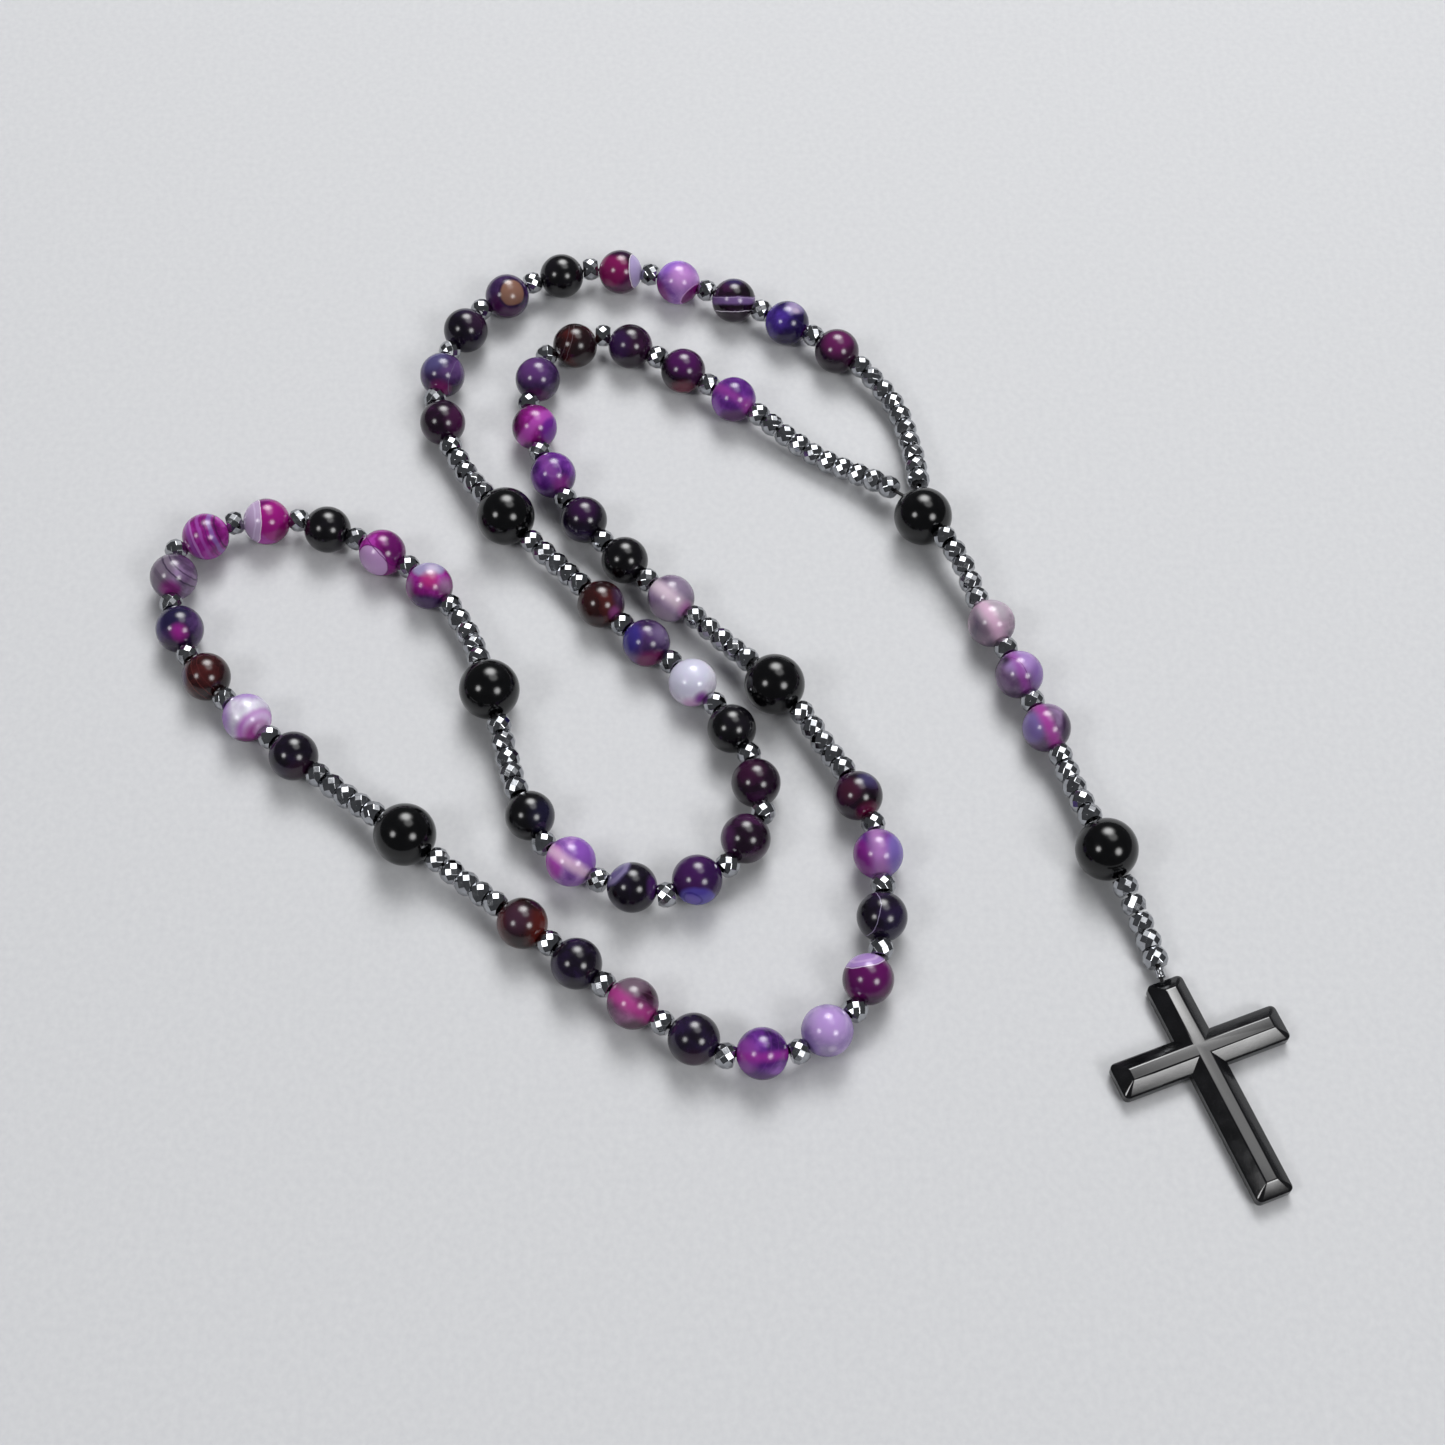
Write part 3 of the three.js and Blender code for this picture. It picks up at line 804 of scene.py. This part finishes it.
def agate_material(name, stone, features, turn, seed):
    """Dyed banded agate, whose features include painted light, shade and glow. The turn is the
    bead's own, so that its features face as said.
    """
    dark, main, light, depth = STONES[stone]
    s = Shader(name)
    place = s.scaled(s.place(), 1 / AGATE_RADIUS)
    drift = s.vector("SUBTRACT", s.noise(place, 1.1, 3, seed, output="Color"), (0.5, 0.5, 0.5))
    warped = s.vector("NORMALIZE", s.vector("ADD", place, s.scaled(drift, 0.28)))
    cloud = s.noise(s.vector("ADD", place, s.scaled(drift, 0.6)), 0.9, 4, seed + 5, 0.5, 0.4)
    stops = [(0.32, colour(dark)), (0.5, colour(main)), (0.68, colour(light))]
    shade = s.ramp(cloud, stops)
    grain = (turn.inverted() @ seen_at(seed % 12, 55)).normalized()
    fine = s.lines(s.dot(warped, grain), 7, seed)
    shade = s.mix(s.between(fine, 0.54, 0.7, 0, 0.12), shade, colour(light))
    # The way square to the drilling and to the camera, for the painted streak of light.
    across = (turn.inverted() @ (turn @ Vector((1, 0, 0))).cross(TO_CAMERA)).normalized()
    for feature in features:
        tint = colour(feature["shade"])
        # Painted glow of light through the stone, strongest round the drilling at the two holes.
        if feature["form"] == "core":
            off_axis = s.vector("LENGTH", s.vector("MULTIPLY", place, (0, 1, 1)), None, "Value")
            mask = s.between(off_axis, 0.14, feature["size"], feature["strength"], 0)
            shade = s.mix(mask, shade, tint)
            continue
        # Painted streak of light through the stone, from hole to hole on the band facing the
        # camera.
        if feature["form"] == "painted_light_streak":
            gap = s.math("ABSOLUTE", s.dot(warped, across))
            width = feature["width"]
            mask = s.between(gap, 0.15 * width, 2.2 * width, feature["strength"], 0)
            shade = s.mix(mask, shade, tint)
            continue
        way = (turn.inverted() @ seen_at(*feature["at"])).normalized()
        height = s.dot(warped, way)
        if feature["form"] == "cap":
            rim = math.cos(math.radians(feature["size"]))
            soft = feature["soft"]
            shade = s.mix(s.between(height, rim - soft, rim + soft), shade, tint)
            if feature["line"]:
                gap = s.math("ABSOLUTE", s.math("SUBTRACT", height, rim - 0.02))
                shade = s.mix(s.between(gap, 0.008, 0.026, 0.8, 0), shade, colour(feature["line"]))
        elif feature["form"] == "stripe":
            gap = s.math("ABSOLUTE", s.math("SUBTRACT", height, feature["offset"]))
            width = feature["width"]
            shade = s.mix(s.between(gap, 0.5 * width, 1.6 * width, 0.8, 0), shade, tint)
        else:
            fine = s.lines(height, feature["scale"], seed + 3)
            share = feature["share"]
            shade = s.mix(s.between(fine, share, share + 0.1, 0, 0.3), shade, tint)
    gloss = s.between(s.noise(place, 3.5, 3, seed + 9), 0.35, 0.7, 0.15, 0.21)
    s.bump(s.noise(place, 6, 3, seed + 11), 0.004 * MM, 0.3)
    return s.finish(
        Base_Color=shade,
        Roughness=gloss,
        IOR=1.49,
        Subsurface_Weight=depth,
        Subsurface_Radius=(1.0, 0.5, 1.0),
        Subsurface_Scale=1.2 * MM,
    )


# ---- Pieces --------------------------------------------------------------------------


def thread_path(stations, balls):
    """The thread's points: through every bead, straight through the agates' drillings."""
    points = []
    last = len(stations) - 1
    for i, station in enumerate(stations):
        if station.agate:
            before = stations[i - 1].at
            middle = (before + station.at) / 2
            half = (station.at - before).normalized() * AGATE_RADIUS
            points += [middle - half, middle + half]
        ball = balls.get(i)
        if ball is None:
            points.append(station.at)
            continue
        inside, aside = ball["inside"], ball["aside"]
        clear = THREAD_CLEARANCE if inside else HINGE_CLEARANCE
        mouths = []
        if i > 0:
            mouths.append(ball["ball"].mouth(stations[i - 1].at, aside, clear))
        if inside:
            mouths.append(station.at)
        if i < last:
            mouths.append(ball["ball"].mouth(stations[i + 1].at, aside, clear))
        points += mouths
    return points


def add_thread(name, points, body, material):
    data = bpy.data.curves.new(name, "CURVE")
    data.dimensions = "3D"
    data.bevel_depth = THREAD_RADIUS
    data.bevel_resolution = 3
    data.use_fill_caps = True
    spline = data.splines.new("POLY")
    spline.points.add(len(points) - 1)
    for target, point in zip(spline.points, points):
        target.co = (*point, 1)
    data.materials.append(material)
    piece = bpy.data.objects.new(name, data)
    bpy.context.collection.objects.link(piece)
    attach(piece, body)
    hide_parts(body)
    return piece


def rondelle_shape():
    """One faceted bead about local X: flat ends, and between them rows of lozenges.
    With radii that follow a cosine at even steps, every lozenge lies flat."""
    count = RONDELLE_FACETS
    rows = 2
    bore = 0.45 * MM
    rings = []
    for row in range(-rows, rows + 1):
        radius = 1.03 * RONDELLE_RADIUS * math.cos(math.pi * row / count)
        rings.append((RONDELLE_HALF * row / rows, radius, 0.5 * (row % 2)))
    end_phase = rings[0][2]
    rings = [(-RONDELLE_HALF, bore, end_phase), *rings, (RONDELLE_HALF, bore, end_phase)]
    points = []
    for x, radius, phase in rings:
        for k in range(count):
            angle = 2 * math.pi * (k + phase) / count
            points.append(Vector((x, radius * math.sin(angle), radius * math.cos(angle))))

    def at(ring, k):
        return ring * count + k % count

    first, last = 1, len(rings) - 2
    faces = []
    for k in range(count):
        faces.append((at(0, k), at(first, k), at(first, k + 1), at(0, k + 1)))
        faces.append((at(last + 1, k), at(last + 1, k + 1), at(last, k + 1), at(last, k)))
        faces.append((at(0, k), at(0, k + 1), at(last + 1, k + 1), at(last + 1, k)))
        shift = 1 if end_phase else 0
        faces.append((at(first, k), at(first + 1, k + shift), at(first, k + 1)))
        faces.append((at(last, k), at(last, k + 1), at(last - 1, k + shift)))
        for ring in range(first + 1, last):
            shift = 1 if rings[ring][2] else 0
            left, right = at(ring, k), at(ring, k + 1)
            below, above = at(ring - 1, k + shift), at(ring + 1, k + shift)
            faces.append((below, left, above, right))
    return points, faces


def add_rondelles(name, stations, body, material, seed):
    """All of a strand's rondelles, each a bead of its own, with a facet near the glint."""
    chance = random.Random(seed)
    shape, shape_faces = rondelle_shape()
    points, faces = [], []
    for i, station in enumerate(stations):
        if station.kind != "rondelle":
            continue
        level = facing(heading(stations, i))
        glint = level.inverted() @ GLINT
        facets = (0.5 + chance.uniform(-0.22, 0.22)) * 2 * math.pi / RONDELLE_FACETS
        roll = Matrix.Rotation(facets - math.atan2(glint.y, glint.z), 3, "X")
        swell = chance.uniform(0.97, 1.01)
        turn = level @ roll
        offset = len(points)
        points += [station.at + turn @ (point * swell) for point in shape]
        faces += [tuple(offset + k for k in face) for face in shape_faces]
    mesh = mesh_from(name, points, faces, smooth=False)
    piece = new_piece(name, mesh, material, body, [body])
    soften = piece.modifiers.new("worn_edges", "BEVEL")
    soften.width = 0.035 * MM
    soften.segments = 1
    soften.limit_method = "ANGLE"
    soften.angle_limit = math.radians(12)
    return piece


def add_onyx(ball, material):
    mesh = drilled_ball(ball.name, ONYX_RADIUS, 40, 56)
    piece = new_piece(ball.name, mesh, material, ball.body, [ball.node])
    piece.matrix_basis = Matrix.LocRotScale(ball.at, facing(ball.axis), None)
    return piece


def add_agates(stretch_name, stations, beads):
    """A piece for each agate on a stretch, in order along the thread."""
    pieces = []
    node_form = "agate_drop_{}" if stretch_name == "drop" else f"agate_{stretch_name}_{{:02d}}"
    for i, station in enumerate(stations):
        if not station.agate:
            continue
        number = len(pieces) + 1
        node = node_form.format(number)
        before = stations[i - 1].at
        middle = (before + station.at) / 2
        low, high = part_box(node)
        if ((low + high) / 2 - middle).length > 0.4 * MM:
            raise ValueError(f"{node} isn't where the route puts it")
        turn = facing((station.at - before).normalized())
        stone, *features = beads[number - 1]
        name = node.replace("agate", "bead")
        seed = 1.7 * number + 23 * len(beads[number - 1]) + 3.1 * sum(map(ord, stretch_name))
        material = agate_material(name, stone, features, turn, seed)
        mesh = drilled_ball(name, AGATE_RADIUS, 28, 44)
        piece = new_piece(name, mesh, material, node, [node])
        piece.matrix_basis = Matrix.LocRotScale(middle, turn, None)
        pieces.append(piece)
    return pieces


def add_crimp(station, axis, material):
    """A short tube, pinched a little flat, with rolled ends."""
    half, outer, inner, lip = 0.8 * MM, 0.78 * MM, 0.4 * MM, 0.12 * MM
    waist = 0.86 * outer
    profile = [
        (-half, inner), (-half, outer - lip), (-half + lip, outer), (-0.3 * half, waist),
        (0.3 * half, waist), (half - lip, outer), (half, outer - lip), (half, inner),
    ]
    mesh = lathe("crimp", profile, 24)
    piece = new_piece("crimp", mesh, material, "drop_strand", ["drop_strand"])
    piece.matrix_basis = Matrix.LocRotScale(station.at, facing(axis), None)
    return piece


def cross_outline(inset, corner):
    """The outline at one level, from the top end at the origin down along local -Y."""
    bar = CROSS_BAR / 2 - inset
    arm = CROSS_WIDTH / 2 - inset
    top, bottom = -inset, inset - CROSS_LENGTH
    above, below = bar - CROSS_ARM_DROP, -bar - CROSS_ARM_DROP
    corners = [
        (bar, top), (-bar, top), (-bar, above), (-arm, above),
        (-arm, below), (-bar, below), (-bar, bottom), (bar, bottom),
        (bar, below), (arm, below), (arm, above), (bar, above),
    ]
    corners = [Vector(corner_point) for corner_point in corners]
    outline = []
    steps = 6
    for i, point in enumerate(corners):
        back = (corners[i - 1] - point).normalized()
        ahead = (corners[(i + 1) % len(corners)] - point).normalized()
        outer = back.x * ahead.y - back.y * ahead.x < 0
        if not outer:
            outline.append(point)
            continue
        centre = point + (back + ahead) * corner
        for k in range(steps + 1):
            turn = math.pi / 2 * k / steps
            reach = ahead * math.cos(turn) + back * math.sin(turn)
            outline.append(centre - reach * corner)
    return outline


def add_cross(material):
    """The bevelled cross, its edges just rounded, drilled down from its top end."""
    wall_top = CROSS_THICKNESS - CROSS_BEVEL_HEIGHT
    slope = CROSS_BEVEL_HEIGHT / CROSS_BEVEL
    soft = 0.16 * MM
    levels = [
        (0, 0.6, 0.45),
        (0.35, 0.2, 0.7),
        (0.7, 0.02, 0.85),
        (0.85, 0, 0.9),
    ]
    rings = [(z * MM, inset * MM, corner * MM) for z, inset, corner in levels]
    rings += [
        (wall_top - soft, 0, 0.9 * MM),
        (wall_top - 0.3 * soft, 0.12 * soft, 0.88 * MM),
        (wall_top + 0.35 * soft, 0.75 * soft, 0.82 * MM),
        (wall_top + slope * 2 * soft, 2 * soft, 0.75 * MM),
        (CROSS_THICKNESS - slope * 1.4 * soft, CROSS_BEVEL - 1.4 * soft, 0.16 * MM),
        (CROSS_THICKNESS - 0.25 * soft, CROSS_BEVEL - 0.3 * soft, 0.13 * MM),
        (CROSS_THICKNESS, CROSS_BEVEL + 0.8 * soft, 0.1 * MM),
    ]
    points, faces = [], []
    for z, inset, corner in rings:
        points += [(point.x, point.y, z) for point in cross_outline(inset, corner)]
    count = len(points) // len(rings)
    for level in range(len(rings) - 1):
        for k in range(count):
            a = level * count + k
            b = level * count + (k + 1) % count
            faces.append((a, b, b + count, a + count))
    faces.append(tuple(reversed(range(count))))
    faces.append(tuple((len(rings) - 1) * count + k for k in range(count)))
    mesh = mesh_from("cross_stone", points, faces)
    sharpen(mesh, 25)
    body = new_piece("cross_stone", mesh, material, "cross", ["cross"])
    drill(body, BORE_RADIUS, 8 * MM)
    turn = Matrix.Rotation(CROSS_TURN, 3, "Z")
    body.matrix_basis = Matrix.LocRotScale(CROSS_TOP, turn, None)
    return body


def drill(piece, radius, depth):
    """Cuts a round hole into the piece from its top end, along local -Y."""
    sides = 24
    points, faces = [], []
    for y in (1 * MM, -depth):
        for k in range(sides):
            angle = 2 * math.pi * k / sides
            z = CROSS_BORE_HEIGHT + radius * math.sin(angle)
            points.append((radius * math.cos(angle), y, z))
    for k in range(sides):
        j = (k + 1) % sides
        faces.append((k, j, sides + j, sides + k))
    faces.append(tuple(reversed(range(sides))))
    faces.append(tuple(range(sides, 2 * sides)))
    cutter = bpy.data.objects.new("drill", mesh_from("drill", points, faces))
    bpy.context.collection.objects.link(cutter)
    cut = piece.modifiers.new("drill", "BOOLEAN")
    cut.operation = "DIFFERENCE"
    cut.solver = "EXACT"
    cut.object = cutter
    bpy.context.view_layer.update()
    graph = bpy.context.evaluated_depsgraph_get()
    mesh = bpy.data.meshes.new_from_object(piece.evaluated_get(graph))
    piece.modifiers.clear()
    piece.data = mesh
    bpy.data.objects.remove(cutter)


# ---- Stage ---------------------------------------------------------------------------


def add_floor():
    reach = 12
    sides = 64
    angles = [2 * math.pi * k / sides for k in range(sides)]
    rim = [(reach * math.cos(angle), reach * math.sin(angle), 0) for angle in angles]
    mesh = mesh_from("floor", rim, [tuple(range(sides))])
    mesh.materials.append(floor_material())
    floor = bpy.data.objects.new("floor", mesh)
    floor.location.z = -0.02 * MM
    bpy.context.collection.objects.link(floor)


LIGHT_DISTANCE = 1.6


def add_softbox(name, direction, core, edge, radiance, glow):
    """A round studio light turned to the rosary: a bright core, whose half-angle is given
    in degrees, in a dimmer panel that fades out at its edge. Glow is the panel's share."""
    size = 2 * LIGHT_DISTANCE * math.tan(math.radians(edge))
    data = bpy.data.lights.new(name, "AREA")
    data.shape = "SQUARE"
    data.size = size
    data.energy = radiance * math.pi * size * size
    data.use_nodes = True
    tree = data.node_tree
    place = tree.nodes.new("ShaderNodeNewGeometry")
    centred = tree.nodes.new("ShaderNodeVectorMath")
    centred.operation = "DISTANCE"
    centred.inputs[1].default_value = (0.5, 0.5, 0)
    tree.links.new(place.outputs["Parametric"], centred.inputs[0])
    share = 0.5 * core / edge

    def fade(start, end, most):
        step = tree.nodes.new("ShaderNodeMapRange")
        step.interpolation_type = "SMOOTHSTEP"
        numbers = (("From Min", start), ("From Max", end), ("To Min", most), ("To Max", 0))
        for key, value in numbers:
            step.inputs[key].default_value = value
        tree.links.new(centred.outputs["Value"], step.inputs["Value"])
        return step.outputs[0]

    total = tree.nodes.new("ShaderNodeMath")
    tree.links.new(fade(0.4 * share, 1.6 * share, 1 - glow), total.inputs[0])
    tree.links.new(fade(0.3, 0.5, glow), total.inputs[1])
    tree.links.new(total.outputs[0], tree.nodes["Emission"].inputs["Strength"])
    light = bpy.data.objects.new(name, data)
    way = Vector(direction).normalized()
    light.location = CAMERA_TARGET + way * LIGHT_DISTANCE
    light.rotation_euler = way.to_track_quat("Z", "Y").to_euler()
    light.visible_camera = False
    bpy.context.collection.objects.link(light)


def add_lights():
    add_softbox("softbox_back", BACK_LIGHT, 12, 25, 13, 0.13)
    add_softbox("softbox_left", (-0.61, -0.36, 0.70), 8, 12, 11, 0.05)
    add_softbox("softbox_right", (0.572, -0.50, 0.65), 9, 17, 11, 0.2)
    add_softbox("panel_above", (0.27, 0.30, 0.915), 14, 17, 2.6, 0.5)
    world = bpy.data.worlds.new("studio")
    world.use_nodes = True
    sky = world.node_tree.nodes["Background"]
    sky.inputs["Color"].default_value = (0.80, 0.82, 0.86, 1)
    sky.inputs["Strength"].default_value = 0.13
    bpy.context.scene.world = world
    bpy.context.scene.view_settings.view_transform = "Standard"


# ---- The rosary ------------------------------------------------------------------------

add_camera()
stretches, drop = lay_out()
balls = find_balls(stretches, drop)
centre, first, second, third, fourth, drop_ball = balls
drop_index = next(i for i, s in enumerate(drop) if i > 0 and s.kind == "onyx")

thread = thread_material()
FORK_ASIDE = 0.28 * MM


def held(ball, inside=True, aside=0.0):
    return {"ball": ball, "inside": inside, "aside": aside}


# Which onyx each stretch's thread starts and ends at, and whether it runs inside.
thread_ends = [
    (held(centre, True, FORK_ASIDE), held(first)),
    (held(first, False), held(second)),
    (held(second, False), held(third)),
    (held(third, False), held(fourth, False)),
    (held(fourth), held(centre, False, FORK_ASIDE)),
]
cords = []
for i, (stations, (start, end)) in enumerate(zip(stretches, thread_ends)):
    path = thread_path(stations, {0: start, len(stations) - 1: end})
    name = f"strand_{i + 1}"
    cords.append((add_thread(f"thread_{i + 1}", path, name, thread), path, name, stations))
drop_path = thread_path(drop, {0: held(centre, False), drop_index: held(drop_ball)})
drop_thread = add_thread("thread_drop", drop_path, "drop_strand", thread)
cords.append((drop_thread, drop_path, "drop_strand", drop))

hematite = hematite_material()
onyx = onyx_material()
onyx_pieces = {ball.name: add_onyx(ball, onyx) for ball in balls}
crimp = add_crimp(drop[-2], heading(drop, len(drop) - 2), crimp_material())
cross = add_cross(cross_material())

for i, (piece, path, body, stations) in enumerate(cords):
    label = "drop" if body == "drop_strand" else str(i + 1)
    strung = [add_rondelles(f"rondelles_{label}", stations, body, hematite, 40 + i)]
    strung += add_agates(label, stations, AGATES[label])
    strung += [onyx_pieces[ball.name] for ball in balls if ball.body == body]
    if label == "drop":
        strung.append(crimp)

add_floor()
add_lights()
